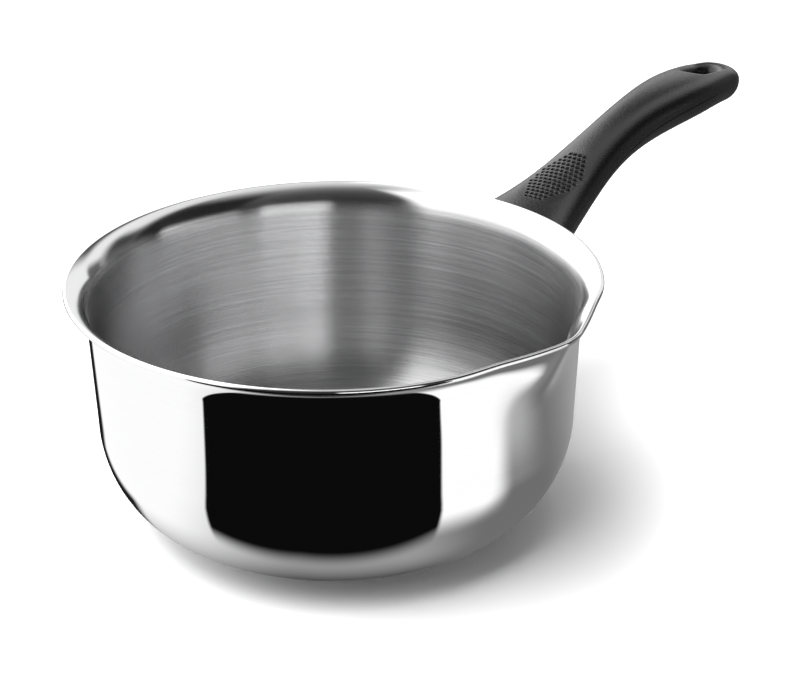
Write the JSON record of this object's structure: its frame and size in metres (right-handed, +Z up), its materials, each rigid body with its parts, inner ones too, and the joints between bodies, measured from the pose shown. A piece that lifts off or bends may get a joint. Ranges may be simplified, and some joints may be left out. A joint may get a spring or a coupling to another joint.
{
  "type": "milk pan",
  "caption": "Stainless steel milk pan with a flared pouring lip, encapsulated base and a long black two-shell handle with a hanging slot.",
  "frame": {"origin": "centre of the base's resting face, on the bowl's axis", "axes": "+Z up along the bowl's axis; +X along the handle, away from the bowl; the pouring spout points to -Y"},
  "size_m": [0.3626, 0.179, 0.0912],
  "materials": {
    "polished_steel": "mirror polished outside and lip, circular satin inside",
    "base_steel": "satin, turned",
    "bracket_steel": "pressed sheet",
    "disc_aluminium": "mill",
    "handle_black": "fine-grained matte moulding",
    "fastener_steel": "plain",
    "insert_brass": "turned"
  },
  "bodies": {
    "root": {"pan_body": "polished_steel", "heat_disc": "disc_aluminium", "base_capsule": "base_steel", "handle_bracket": "bracket_steel", "handle_upper_shell": "handle_black", "handle_lower_shell": "handle_black", "handle_bolts": "fastener_steel", "spring_washers": "fastener_steel", "threaded_inserts": "insert_brass", "shell_screws": "fastener_steel"}
  },
  "joints": []
}
